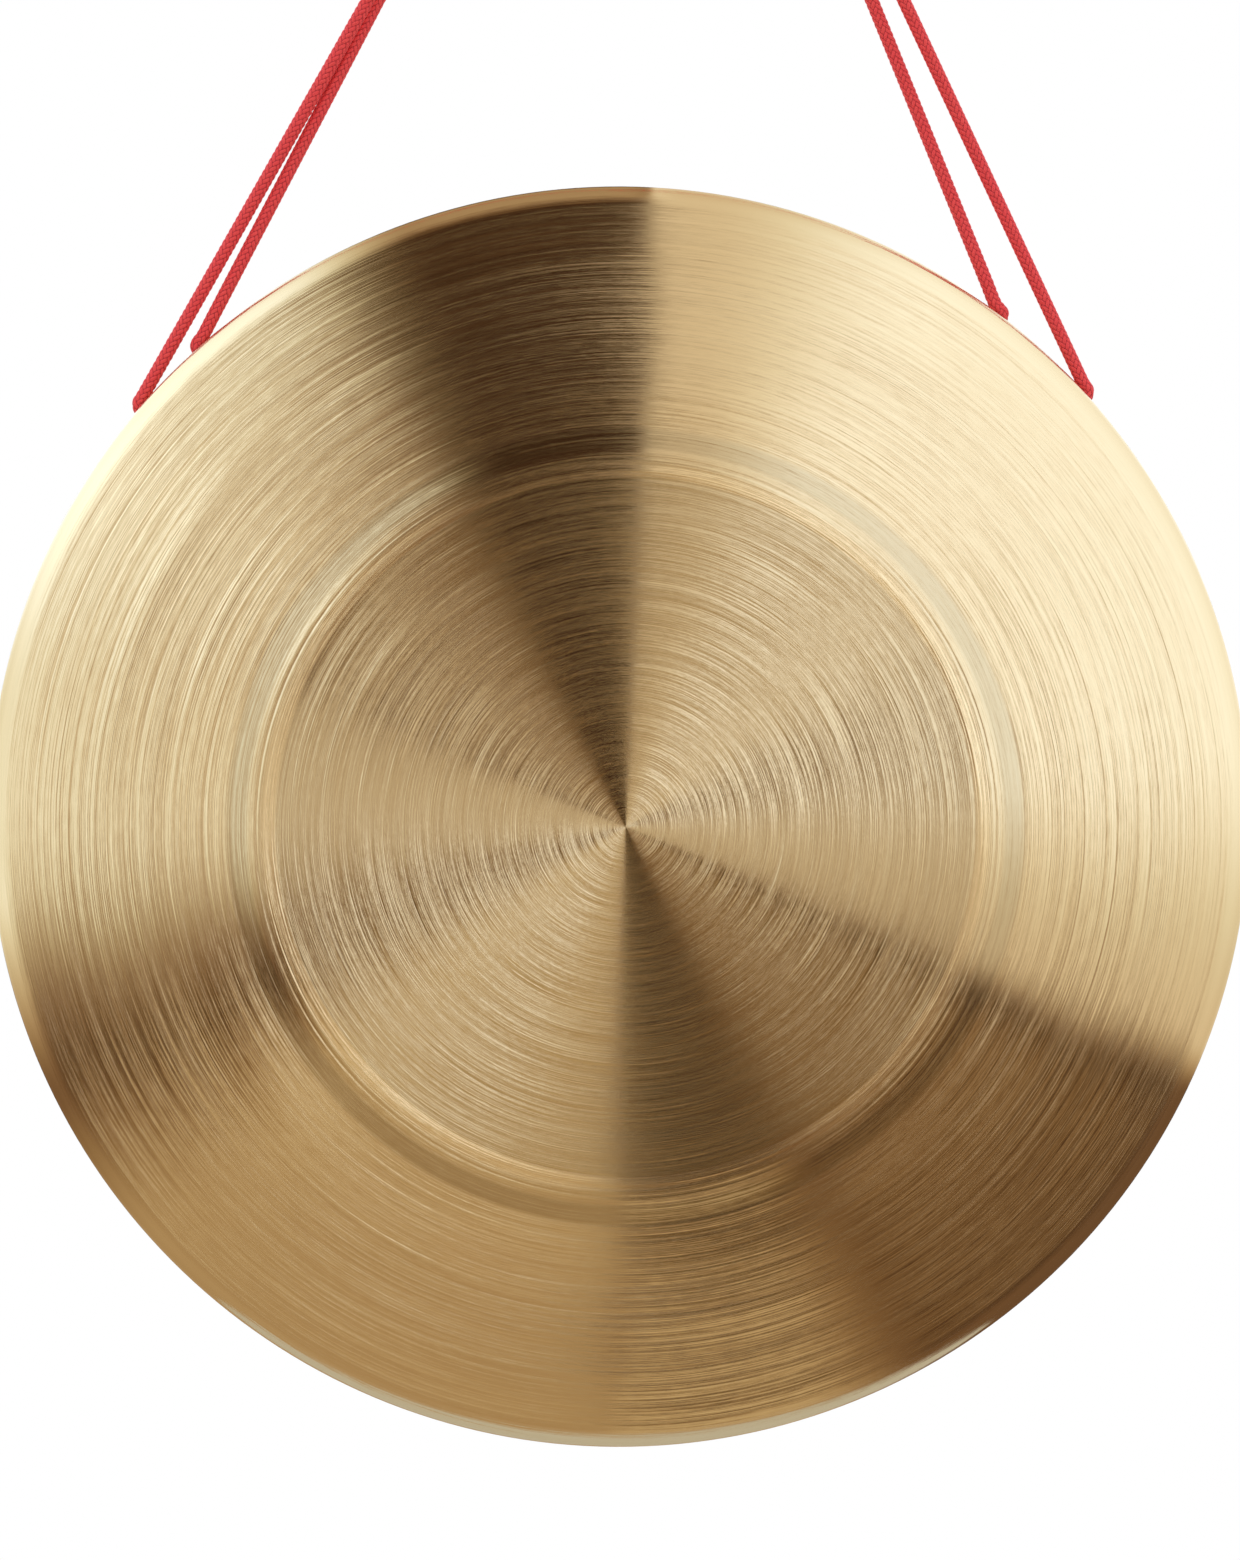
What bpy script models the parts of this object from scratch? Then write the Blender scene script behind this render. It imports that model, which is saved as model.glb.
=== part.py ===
"""A hand gong: one brass plate with a turned-back rim, hung on one braided cord.

The cord is a single length. From its left end it is wound round the gathered strands, runs down to the
rim, goes in at one hole and out at the next, climbs to the top, makes the hanging loop, and does the same
on the right. The nodes are the stretches of that cord between the places where it bends as the gong moves.

Metres, +Z up. The origin is the inside top of the hanging loop, where a hook or a finger bears. The
striking face looks towards -Y, and the strands hang in the plane y = 0.
"""
import math

import bmesh
import bpy
from mathutils import Matrix, Vector

# Brass plate, seen from the front: flat middle, fine bead, cove, shoulder that falls ever more steeply
# from its first slope to the slope at the edge, rolled edge
face_radius = 0.160
flat_radius = 0.088
bead_width = 0.004
bead_height = 0.0001
cove_width = 0.009
cove_drop = 0.00075
shoulder_slope = math.radians(3.0)
edge_slope = math.radians(6.5)
edge_roll_width = 0.0065
edge_roll_depth = 0.0038
face_thickness = 0.0012

# Rim, turned back and leaning inwards, thicker than the face it was raised from
plate_depth = 0.040
rim_lean = math.radians(10.0)
rim_thickness = 0.0022

# Cord holes through the rim, level with the plate's centre of mass so that the gong hangs plumb
hole_diameter = 0.0055
hole_depth = 0.0115

# Braided cord, and the room left beside what it touches, between the wound turns and at each bend
cord_diameter = 0.0033
touch_gap = 0.0003
wrap_gap = 0.0004
turn_gap = 0.0006
bend_gap = 0.0009

# Each strand leaves its hole, runs along the rim, and lifts off; the first of it stays with the gong
lift_along = 0.0036
stub_length = 0.0060

# The strands gather this far above the plate's centre, just below the winding, and swing from there
gather_height = 0.332
gather_drop = 0.009
bend_drop = 0.007
straight_top = 0.0023

# The two ends of the cord are wound side by side round the gathered cords, and their tips stand free
wound_turns = 1.75
wound_start = math.radians(100)
tail_length = 0.024

# Hanging loop
loop_height = 0.034
loop_width = 0.016

# The four strands: the angle of each hole from +X towards +Z, and where the strand is gathered, in x and y
strand_table = {
    "left_outer": (math.radians(141.4), -0.0024, -0.0030),
    "left_inner": (math.radians(133.9), -0.0061, 0.0030),
    "right_inner": (math.radians(54.0), 0.0044, 0.0019),
    "right_outer": (math.radians(43.5), 0.0045, -0.0019),
}

# How the round forms are divided
plate_segments = 96
bead_steps = 4
cove_steps = 5
shoulder_steps = 8
roll_steps = 8
hole_segments = 20
bundle_sides = 32
strand_points = 24
bight_points = 34
loop_points = 26
points_a_turn = 24

# Sizes that follow from those above
cord_radius = cord_diameter / 2
cord_pitch = cord_diameter + touch_gap
bundle_reach = cord_pitch / 2 * math.sqrt(2) + cord_radius
wound_radius = bundle_reach + wrap_gap + cord_radius
wound_pitch = 2 * (cord_diameter + turn_gap)
wound_height = wound_turns * wound_pitch + cord_diameter
throat_z = -loop_height - wound_height
plate_z = throat_z - gather_drop - gather_height


def clear_scene():
    """Remove every object the file opened with."""
    for thing in list(bpy.data.objects):
        bpy.data.objects.remove(thing, do_unlink=True)


def make_material(name, color, roughness, metallic):
    """A plain Principled material in the part's own colour."""
    made = bpy.data.materials.new(name)
    made.use_nodes = True
    shader = made.node_tree.nodes["Principled BSDF"]
    shader.inputs["Base Color"].default_value = (*color, 1.0)
    shader.inputs["Roughness"].default_value = roughness
    shader.inputs["Metallic"].default_value = metallic
    return made


def attach(thing, parent):
    """Parent a piece without moving it."""
    if parent is not None:
        thing.parent = parent
        thing.matrix_parent_inverse = parent.matrix_world.inverted()


def make_pivot(name, place, parent):
    """An empty on a joint's axis, with the pieces that turn about it as its children."""
    pivot = bpy.data.objects.new(name, None)
    pivot.empty_display_size = 0.02
    bpy.context.collection.objects.link(pivot)
    attach(pivot, parent)
    pivot.matrix_world = place
    bpy.context.view_layer.update()
    return pivot


def roll_angles():
    """Where the elliptical edge starts, square to the shoulder, and where it ends, in line with the rim."""
    start = math.atan(edge_roll_width / edge_roll_depth * math.tan(edge_slope))
    end = math.pi / 2 + math.atan(edge_roll_depth / edge_roll_width * math.tan(rim_lean))
    return start, end


def shoulder_start():
    """Radius at which the bead and the cove end and the shoulder begins."""
    return flat_radius + bead_width + cove_width


def shoulder_sweep():
    """Radius of the arc that the shoulder follows, from its first slope to the slope at the edge."""
    start, end = roll_angles()
    run = face_radius - edge_roll_width + edge_roll_width * math.sin(start) - shoulder_start()
    return run / (math.sin(edge_slope) - math.sin(shoulder_slope))


def roll_centre():
    """Centre of the elliptical edge, as radius and depth behind the flat middle."""
    start, end = roll_angles()
    drop = cove_drop + shoulder_sweep() * (math.cos(shoulder_slope) - math.cos(edge_slope))
    return face_radius - edge_roll_width, drop + edge_roll_depth * math.cos(start)


def rim_outer_radius(depth):
    """Outside radius of the straight rim at a depth behind the flat middle."""
    start, end = roll_angles()
    centre_radius, centre_depth = roll_centre()
    radius = centre_radius + edge_roll_width * math.sin(end)
    return radius - (depth - centre_depth + edge_roll_depth * math.cos(end)) * math.tan(rim_lean)


def rim_inner_radius(depth):
    """Inside radius of the straight rim at the same depth."""
    return rim_outer_radius(depth) - rim_thickness / math.cos(rim_lean)


def front_profile():
    """Front line of the plate from the middle out and round to the rim's rear edge.

    Each entry is radius, depth, and the outward normal as a radius and a depth part. The bead is a
    squared sine, and the cove a cubic that starts level and ends in line with the shoulder.
    """
    line = []
    for step in range(bead_steps + 1):
        share = step / bead_steps
        height = bead_height * math.sin(math.pi * share) ** 2
        line.append((flat_radius + bead_width * share, -height, 0.0, -1.0))
    for step in range(1, cove_steps):
        share = step / cove_steps
        fall = cove_drop * (3 * share ** 2 - 2 * share ** 3)
        fall += cove_width * math.tan(shoulder_slope) * (share ** 3 - share ** 2)
        line.append((flat_radius + bead_width + cove_width * share, fall, 0.0, -1.0))
    for step in range(shoulder_steps):
        angle = shoulder_slope + (edge_slope - shoulder_slope) * step / shoulder_steps
        radius = shoulder_start() + shoulder_sweep() * (math.sin(angle) - math.sin(shoulder_slope))
        depth = cove_drop + shoulder_sweep() * (math.cos(shoulder_slope) - math.cos(angle))
        line.append((radius, depth, math.sin(angle), -math.cos(angle)))
    start, end = roll_angles()
    centre_radius, centre_depth = roll_centre()
    for step in range(roll_steps + 1):
        angle = start + (end - start) * step / roll_steps
        normal = Vector((edge_roll_depth * math.sin(angle), -edge_roll_width * math.cos(angle))).normalized()
        radius = centre_radius + edge_roll_width * math.sin(angle)
        line.append((radius, centre_depth - edge_roll_depth * math.cos(angle), normal.x, normal.y))
    line.append((rim_outer_radius(plate_depth), plate_depth, math.cos(rim_lean), math.sin(rim_lean)))
    return line


def back_profile(front):
    """Inside line of the plate, from the rim's rear edge back to where the cove starts.

    The inside keeps the face's thickness behind the shoulder and grows to the rim's round the edge. The
    middle is plain, because the bead is on the front alone.
    """
    shoulder_row = bead_steps + cove_steps
    roll_row = shoulder_row + shoulder_steps
    line = [(rim_inner_radius(plate_depth), plate_depth)]
    for row in range(len(front) - 2, shoulder_row - 1, -2):
        radius, depth, across, along = front[row]
        share = min(1.0, max(0.0, (row - roll_row) / roll_steps))
        metal = face_thickness + (rim_thickness - face_thickness) * share
        line.append((radius - across * metal, depth - along * metal))
    line.append((flat_radius + bead_width, face_thickness))
    return line


def make_plate(metal, pivot):
    """Turn the closed profile about the plate's own axis, then drill the four cord holes."""
    front = front_profile()
    outline = [(0.0, 0.0)] + [(row[0], row[1]) for row in front] + back_profile(front)
    outline.append((0.0, face_thickness))
    body = bmesh.new()
    places = [body.verts.new((radius, depth - hole_depth, 0.0)) for radius, depth in outline]
    edges = [body.edges.new(pair) for pair in zip(places, places[1:])]
    bmesh.ops.spin(
        body, geom=places + edges, cent=(0, 0, 0), axis=(0, 1, 0), angle=2 * math.pi,
        steps=plate_segments, use_merge=True,
    )
    bmesh.ops.remove_doubles(body, verts=body.verts, dist=1e-6)
    bmesh.ops.recalc_face_normals(body, faces=body.faces)
    bmesh.ops.translate(body, verts=body.verts, vec=(0, 0, plate_z))
    mesh = bpy.data.meshes.new("gong_plate")
    body.to_mesh(mesh)
    body.free()
    mesh.materials.append(metal)
    mesh.shade_smooth()
    mesh.set_sharp_from_angle(angle=math.radians(30))
    plate = bpy.data.objects.new("gong_plate", mesh)
    bpy.context.collection.objects.link(plate)
    attach(plate, pivot)
    drill = plate.modifiers.new("cord_holes", "BOOLEAN")
    drill.operation = "DIFFERENCE"
    drill.solver = "EXACT"
    drill.object = make_hole_cutter(pivot)
    return plate


def make_hole_cutter(pivot):
    """Four rods that stand square to the plate's axis at the holes; a cutter only."""
    body = bmesh.new()
    for angle, gather_x, gather_y in strand_table.values():
        out = Vector((math.cos(angle), 0, math.sin(angle)))
        turn = out.to_track_quat("Z", "Y").to_matrix().to_4x4()
        place = Matrix.Translation(out * rim_outer_radius(hole_depth) + Vector((0, 0, plate_z)))
        bmesh.ops.create_cone(
            body, cap_ends=True, segments=hole_segments, radius1=hole_diameter / 2,
            radius2=hole_diameter / 2, depth=6 * rim_thickness, matrix=place @ turn,
        )
    mesh = bpy.data.meshes.new("hole_cutter")
    body.to_mesh(mesh)
    body.free()
    cutter = bpy.data.objects.new("hole_cutter", mesh)
    cutter.hide_render = True
    cutter.display_type = "WIRE"
    bpy.context.collection.objects.link(cutter)
    attach(cutter, pivot)
    return cutter


def smooth_route(stops, count):
    """Points spaced evenly along a smooth curve through the stops of a cord's route.

    Each span is a cubic that leaves a stop along the line joining that stop's neighbours.
    """
    stops = [Vector(stop) for stop in stops]
    knots = [0.0]
    for first, second in zip(stops, stops[1:]):
        knots.append(knots[-1] + (second - first).length)
    slopes = []
    for row in range(len(stops)):
        low = max(0, row - 1)
        high = min(len(stops) - 1, row + 1)
        slopes.append((stops[high] - stops[low]) / (knots[high] - knots[low]))
    points = []
    span = 0
    for step in range(count):
        at = knots[-1] * step / (count - 1)
        while span < len(stops) - 2 and at > knots[span + 1]:
            span += 1
        size = knots[span + 1] - knots[span]
        share = (at - knots[span]) / size
        start_part = (2 * share ** 3 - 3 * share ** 2 + 1) * stops[span]
        end_part = (3 * share ** 2 - 2 * share ** 3) * stops[span + 1]
        leave = (share ** 3 - 2 * share ** 2 + share) * size * slopes[span]
        arrive = (share ** 3 - share ** 2) * size * slopes[span + 1]
        points.append(start_part + end_part + leave + arrive)
    return points


def make_cord(name, points, finish, parent, sides_step=2, round_ends=True):
    """A round tube along a list of points, its ends rounded off if asked."""
    sizes = [1.0] * len(points)
    if round_ends:
        first = points[0] + (points[1] - points[0]).normalized() * cord_radius * 0.6
        last = points[-1] + (points[-2] - points[-1]).normalized() * cord_radius * 0.6
        points = [points[0], first] + points[1:-1] + [last, points[-1]]
        sizes = [0.6] + [1.0] * (len(points) - 2) + [0.6]
    data = bpy.data.curves.new(name, "CURVE")
    data.dimensions = "3D"
    data.bevel_depth = cord_radius
    data.bevel_resolution = sides_step
    data.use_fill_caps = True
    spline = data.splines.new("POLY")
    spline.points.add(len(points) - 1)
    for slot, point, size in zip(spline.points, points, sizes):
        slot.co = (*point, 1.0)
        slot.radius = size
    data.materials.append(finish)
    cord = bpy.data.objects.new(name, data)
    bpy.context.collection.objects.link(cord)
    attach(cord, parent)
    return cord


def rim_point(angle, along, radius):
    """A point in the strands' plane: at a radius, and moved along the rim from an angle."""
    out = Vector((math.cos(angle), 0, math.sin(angle)))
    tangent = Vector((-math.sin(angle), 0, math.cos(angle)))
    return Vector((0, 0, plate_z)) + out * radius + tangent * along


def strand_stops(name):
    """Where a strand lifts off the rim, where it is gathered, and where it enters the winding."""
    angle, gather_x, gather_y = strand_table[name]
    side = math.copysign(1.0, math.cos(angle))
    front = math.copysign(1.0, gather_y)
    lift = rim_point(angle, side * lift_along, rim_outer_radius(hole_depth) + cord_radius + touch_gap)
    gather = Vector((gather_x, gather_y, plate_z + gather_height))
    throat = Vector((side * cord_pitch / 2, front * cord_pitch / 2, throat_z - bend_gap))
    return lift, gather, throat


def make_strand(name, finish, pivot):
    """One taut strand, from just above the rim up to the winding."""
    lift, gather, throat = strand_stops(name)
    low = lift + (gather - lift).normalized() * (stub_length + bend_gap)
    straight = throat - Vector((0, 0, straight_top))
    stops = [low, low.lerp(gather, 0.4), low.lerp(gather, 0.8), gather, straight, throat]
    return make_cord(f"cord_strand_{name}", smooth_route(stops, strand_points), finish, pivot)


def make_bight(side_name, finish, pivot):
    """The stretch that goes in at the outer hole, along the inside of the rim and out at the inner one."""
    outside = rim_outer_radius(hole_depth)
    inside = rim_inner_radius(hole_depth)
    halves = []
    for place in ("outer", "inner"):
        name = f"{side_name}_{place}"
        angle = strand_table[name][0]
        lift, gather, throat = strand_stops(name)
        up = math.copysign(1.0, math.cos(angle))
        over = up if place == "outer" else -up
        halves.append([
            lift + (gather - lift).normalized() * stub_length,
            lift,
            rim_point(angle, up * lift_along / 3, outside + 0.85 * cord_radius),
            rim_point(angle, 0.0, (outside + inside) / 2),
            rim_point(angle, over * 0.3 * lift_along, inside - 1.1 * cord_radius),
            rim_point(angle, over * 0.8 * lift_along, inside - 1.6 * cord_radius),
        ])
    stops = halves[0] + halves[1][::-1]
    return make_cord(f"cord_bight_{side_name}", smooth_route(stops, bight_points), finish, pivot)


def make_bundle(finish, pivot):
    """The four cords pressed together inside the winding: one post whose outline is four round lobes."""
    lobe = cord_pitch / 2
    reach = lobe * math.sqrt(2)
    outline = []
    for step in range(bundle_sides):
        angle = 2 * math.pi * step / bundle_sides
        off = (angle % (math.pi / 2)) - math.pi / 4
        radius = reach * math.cos(off) + math.sqrt(max(0.0, lobe ** 2 - (reach * math.sin(off)) ** 2))
        outline.append((radius * math.cos(angle), radius * math.sin(angle)))
    body = bmesh.new()
    floor = [body.verts.new((x, y, throat_z)) for x, y in outline]
    base = body.faces.new(floor)
    raised = bmesh.ops.extrude_face_region(body, geom=[base])
    top = [part for part in raised["geom"] if isinstance(part, bmesh.types.BMVert)]
    bmesh.ops.translate(body, verts=top, vec=(0, 0, wound_height))
    bmesh.ops.recalc_face_normals(body, faces=body.faces)
    mesh = bpy.data.meshes.new("cord_bundle")
    body.to_mesh(mesh)
    body.free()
    mesh.materials.append(finish)
    mesh.shade_smooth()
    mesh.set_sharp_from_angle(angle=math.radians(50))
    bundle = bpy.data.objects.new("cord_bundle", mesh)
    bpy.context.collection.objects.link(bundle)
    attach(bundle, pivot)
    return bundle


def least_gap(points):
    """Least room between a wound tube and itself, between points over half a turn apart."""
    apart = points_a_turn // 2
    reach = [
        (second - first).length
        for row, first in enumerate(points)
        for second in points[row + apart:]
    ]
    return min(reach) - cord_diameter


def make_end(side_name, start, finish, pivot):
    """One end of the cord: wound round the bundle beside the other end, then free at the top."""
    steps = round(wound_turns * points_a_turn)
    points = []
    for step in range(steps + 1):
        angle = start + 2 * math.pi * wound_turns * step / steps
        rise = throat_z + cord_radius + wound_pitch * wound_turns * step / steps
        points.append(Vector((wound_radius * math.cos(angle), wound_radius * math.sin(angle), rise)))
    last = start + 2 * math.pi * wound_turns
    out = Vector((math.cos(last), math.sin(last), 0)) * tail_length
    along = Vector((-math.sin(last), math.cos(last), 0)) * tail_length
    lift = Vector((0, 0, tail_length))
    top = points[-1]
    tail = [
        top,
        top + along * 0.20 + out * 0.06 + lift * 0.06,
        top + along * 0.50 + out * 0.30 + lift * 0.10,
        top + along * 0.72 + out * 0.62 - lift * 0.08,
    ]
    points += smooth_route(tail, 9)[1:]
    name = f"cord_end_{side_name}"
    print(f"{name} clears itself by {least_gap(points) * 1000:.2f} mm")
    return make_cord(name, points, finish, pivot, sides_step=1, round_ends=False)


def make_loop(finish):
    """The hanging loop: two legs that leave the bundle side by side and open into a tear shape."""
    low = -loop_height + bend_gap
    half = loop_width / 2 + cord_radius
    leg = cord_pitch / 2
    right = [
        Vector((leg, 0, low)),
        Vector((leg, 0, low + 0.15 * loop_height)),
        Vector((0.62 * half, 0, low + 0.42 * loop_height)),
        Vector((half, 0, low + 0.70 * loop_height)),
        Vector((0.72 * half, 0, low + 0.95 * loop_height)),
    ]
    crown = [Vector((0, 0, cord_radius))]
    left = [Vector((-stop.x, stop.y, stop.z)) for stop in reversed(right)]
    return make_cord("cord_loop", smooth_route(right + crown + left, loop_points), finish, None)


clear_scene()
brass = make_material("brass", (0.62, 0.45, 0.22), 0.30, 1.0)
red_braid = make_material("red_braid", (0.60, 0.03, 0.04), 0.80, 0.0)

# The gong tips about the line through the middles of the places where each pair of strands lifts off
left_lift = (strand_stops("left_outer")[0] + strand_stops("left_inner")[0]) / 2
right_lift = (strand_stops("right_outer")[0] + strand_stops("right_inner")[0]) / 2
tilt_turn = (right_lift - left_lift).to_track_quat("X", "Z").to_matrix().to_4x4()

make_loop(red_braid)
twist = make_pivot("twist_pivot", Matrix.Translation((0, 0, -loop_height)), None)
make_bundle(red_braid, twist)
make_end("left", wound_start, red_braid, twist)
make_end("right", wound_start + math.pi, red_braid, twist)
swing = make_pivot("swing_pivot", Matrix.Translation((0, 0, throat_z - bend_drop)), twist)
for strand_name in strand_table:
    make_strand(strand_name, red_braid, swing)
tilt = make_pivot("tilt_pivot", Matrix.Translation((left_lift + right_lift) / 2) @ tilt_turn, swing)
make_plate(brass, tilt)
make_bight("left", red_braid, tilt)
make_bight("right", red_braid, tilt)
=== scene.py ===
import math

import bpy
import numpy as np
from mathutils import Matrix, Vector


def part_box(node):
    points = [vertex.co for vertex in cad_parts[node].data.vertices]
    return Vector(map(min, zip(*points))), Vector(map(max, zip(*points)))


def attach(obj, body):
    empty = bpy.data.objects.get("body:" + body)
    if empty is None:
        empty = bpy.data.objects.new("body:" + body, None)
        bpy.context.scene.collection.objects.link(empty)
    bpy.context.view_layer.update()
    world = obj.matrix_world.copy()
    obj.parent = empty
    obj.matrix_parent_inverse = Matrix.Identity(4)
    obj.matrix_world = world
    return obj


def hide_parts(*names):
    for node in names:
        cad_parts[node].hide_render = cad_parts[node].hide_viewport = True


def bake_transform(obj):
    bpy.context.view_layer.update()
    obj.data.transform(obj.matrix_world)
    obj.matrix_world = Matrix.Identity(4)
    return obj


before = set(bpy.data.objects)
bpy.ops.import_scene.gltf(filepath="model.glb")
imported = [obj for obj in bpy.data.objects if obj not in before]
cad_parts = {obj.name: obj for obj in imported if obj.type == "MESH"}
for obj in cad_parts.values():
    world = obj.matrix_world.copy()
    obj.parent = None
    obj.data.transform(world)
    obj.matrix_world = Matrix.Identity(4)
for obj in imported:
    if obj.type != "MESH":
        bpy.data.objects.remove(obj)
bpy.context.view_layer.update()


# Gong plate
# One brass disc, turned and brushed on a lathe: a flat middle, a fine bead, a scribed line, a cove, a
# shoulder that falls back to a rolled edge, and a thicker rim turned back behind it. Four holes are drilled
# through the rim for the cord, and the back keeps its hammer marks under a duller finish.
face_radius = 0.160
flat_radius = 0.088
bead_width = 0.004
bead_height = 0.00004
scribe_radius = 0.0934
scribe_width = 0.0013
scribe_depth = 0.00004
cove_width = 0.009
cove_drop = 0.00075
shoulder_slope = math.radians(3.0)
edge_slope = math.radians(6.5)
edge_roll_width = 0.0065
edge_roll_depth = 0.0038
face_thickness = 0.0012
rim_lean = math.radians(10.0)
rim_thickness = 0.0022
rear_rounding = 0.0005
hole_diameter = 0.0055
hole_depth = 0.0115
hole_flare = 0.0004
hole_angles = {
    "left_outer": math.radians(141.4), "left_inner": math.radians(133.9),
    "right_inner": math.radians(54.0), "right_outer": math.radians(43.5),
}
ring_tones = (
    (0.0, 0.83), (0.0884, 0.80), (0.0888, 1.00), (0.0917, 1.00), (0.0922, 0.88), (0.0953, 0.88),
    (0.0962, 0.74), (0.1003, 0.74), (0.1014, 0.92))
hammer_marks = 170
hammer_seed = 11
hammer_reach = 0.096
hammer_widths = (0.007, 0.012)
hammer_depths = (0.00012, 0.00030)
plate_columns = 256
cutter_columns = 40
outline_rows = {
    "flat": 26, "bead": 21, "cove": 61, "shoulder": 60, "edge": 30, "rim": 30, "rim_inside": 28, "back": 44,
}
corner_rows = 5
sharp_from = math.radians(35)

# The brass of the front, and the duller brass behind
deep_brass = (0.927, 0.708, 0.391, 1.0)
pale_brass = (0.935, 0.718, 0.401, 1.0)
warm_brass = (0.90, 0.67, 0.35, 1.0)
dull_brass = (0.74, 0.55, 0.28, 1.0)
stained_brass = (0.60, 0.43, 0.20, 1.0)
rubbed_brass = (0.82, 0.64, 0.36, 1.0)
front_roughness = (0.15, 0.10)
back_roughness = (0.24, 0.36)
back_tilt = 0.3

# Noise strays about as far from one half as this, and near the lathe's axis its arcs are shorter
line_range = (0.40, 0.60)
arcs_full_from = 0.025

# The lathe held the face a little off the rim's own centre, and the two centres agree again at the edge
turned_off = np.array([0.0018, 0.0, -0.0025])
turned_off_from = 0.108
turned_off_until = 0.150

plate_low, plate_high = (np.array(corner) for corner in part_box("gong_plate"))
plate_z = (plate_low[2] + plate_high[2]) / 2
face_y = -hole_depth
plate_depth = plate_high[1] - face_y
shoulder_from = flat_radius + bead_width + cove_width
edge_start = math.atan(edge_roll_width / edge_roll_depth * math.tan(edge_slope))
edge_end = math.pi / 2 + math.atan(edge_roll_depth / edge_roll_width * math.tan(rim_lean))
edge_centre = face_radius - edge_roll_width
shoulder_run = edge_centre + edge_roll_width * math.sin(edge_start) - shoulder_from
shoulder_arc = shoulder_run / (math.sin(edge_slope) - math.sin(shoulder_slope))
shoulder_fall = cove_drop + shoulder_arc * (math.cos(shoulder_slope) - math.cos(edge_slope))
edge_sink = shoulder_fall + edge_roll_depth * math.cos(edge_start)


def rim_outside(depth):
    """Outside radius of the straight rim at a depth behind the flat: it falls by the tangent of the lean."""
    edge_radius = edge_centre + edge_roll_width * math.sin(edge_end)
    return edge_radius - (depth - edge_sink + edge_roll_depth * math.cos(edge_end)) * math.tan(rim_lean)


def rim_inside(depth):
    """Inside radius of the straight rim, the wall's thickness away from the outside."""
    return rim_outside(depth) - rim_thickness / math.cos(rim_lean)


def soft_corner(before, corner, after):
    """A quadratic curve that rounds a corner: (1-t)^2 before + 2t(1-t) corner + t^2 after."""
    t = np.linspace(0, 1, corner_rows)[:, None]
    return (1 - t) ** 2 * before + 2 * t * (1 - t) * corner + t ** 2 * after


def moved_in(line, metal):
    """Every second point of a front line, last first, moved square to the line by the metal's thickness."""
    ahead = np.gradient(line, axis=0)
    ahead /= np.linalg.norm(ahead, axis=1)[:, None]
    return (line + np.stack([-ahead[:, 1], ahead[:, 0]], axis=1) * metal)[::-2]


def plate_outline():
    """Radius and depth from the middle of the face round the rim to the middle of the back.

    The bead and the scribed line are squared sines, the cove a cubic in line with its neighbours, the
    shoulder a circular arc and the edge part of an ellipse. The inside is the front moved square to itself
    by the metal's thickness, which grows round the edge.
    """
    share = np.linspace(0, 1, outline_rows["bead"])
    bead = np.stack([flat_radius + bead_width * share, -bead_height * np.sin(np.pi * share) ** 2], axis=1)
    share = np.linspace(0, 1, outline_rows["cove"])
    cove = np.stack([
        flat_radius + bead_width + cove_width * share,
        cove_drop * (3 * share ** 2 - 2 * share ** 3)
        + cove_width * math.tan(shoulder_slope) * (share ** 3 - share ** 2)], axis=1)
    scribe = np.clip((cove[:, 0] - scribe_radius) / scribe_width, -0.5, 0.5)
    tip = np.linspace(shoulder_slope, edge_slope, outline_rows["shoulder"])
    shoulder = np.stack([
        shoulder_from + shoulder_arc * (np.sin(tip) - math.sin(shoulder_slope)),
        cove_drop + shoulder_arc * (math.cos(shoulder_slope) - np.cos(tip))], axis=1)
    turn = np.linspace(edge_start, edge_end, outline_rows["edge"])
    edge = np.stack(
        [edge_centre + edge_roll_width * np.sin(turn), edge_sink - edge_roll_depth * np.cos(turn)], axis=1)
    lean = np.array([math.tan(rim_lean), -1.0]) * rear_rounding
    level = np.array([rear_rounding, 0.0])
    rear_out = np.array([rim_outside(plate_depth), plate_depth])
    rear_in = np.array([rim_inside(plate_depth), plate_depth])
    inner_edge = moved_in(edge, np.linspace([face_thickness], [rim_thickness], len(turn)))
    inner_shoulder = moved_in(np.concatenate([cove[:-1], shoulder]), face_thickness)
    cove[:, 1] += scribe_depth * np.cos(np.pi * scribe) ** 2
    return np.concatenate([
        np.linspace([0.0, 0.0], [flat_radius, 0.0], outline_rows["flat"])[:-1],
        bead[:-1], cove[:-1], shoulder[:-1], edge[:-1],
        np.linspace(edge[-1], rear_out + lean, outline_rows["rim"])[:-1],
        soft_corner(rear_out + lean, rear_out, rear_out - level),
        soft_corner(rear_in + level, rear_in, rear_in + lean)[:-1],
        np.linspace(rear_in + lean, inner_edge[0], outline_rows["rim_inside"])[:-1],
        inner_edge[:-1], inner_shoulder[:-1],
        np.linspace([flat_radius + bead_width, face_thickness], [0.0, face_thickness], outline_rows["back"]),
    ])


def mesh_of(name, points, faces, uv_name, corner_uv):
    """A smooth mesh from its points, arrays of three- and four-cornered faces, and a UV pair a corner."""
    mesh = bpy.data.meshes.new(name)
    corners = np.concatenate([part.ravel() for part in faces])
    sizes = np.concatenate([np.full(len(part), part.shape[1]) for part in faces])
    mesh.vertices.add(len(points))
    mesh.vertices.foreach_set("co", points.astype(np.float32).ravel())
    mesh.loops.add(len(corners))
    mesh.loops.foreach_set("vertex_index", corners.astype(np.int32))
    mesh.polygons.add(len(sizes))
    mesh.polygons.foreach_set("loop_start", (np.cumsum(sizes) - sizes).astype(np.int32))
    mesh.update(calc_edges=True)
    pairs = np.concatenate([part.reshape(-1, 2) for part in corner_uv])
    mesh.uv_layers.new(name=uv_name).data.foreach_set("uv", pairs.astype(np.float32).ravel())
    mesh.shade_smooth()
    return mesh


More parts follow.
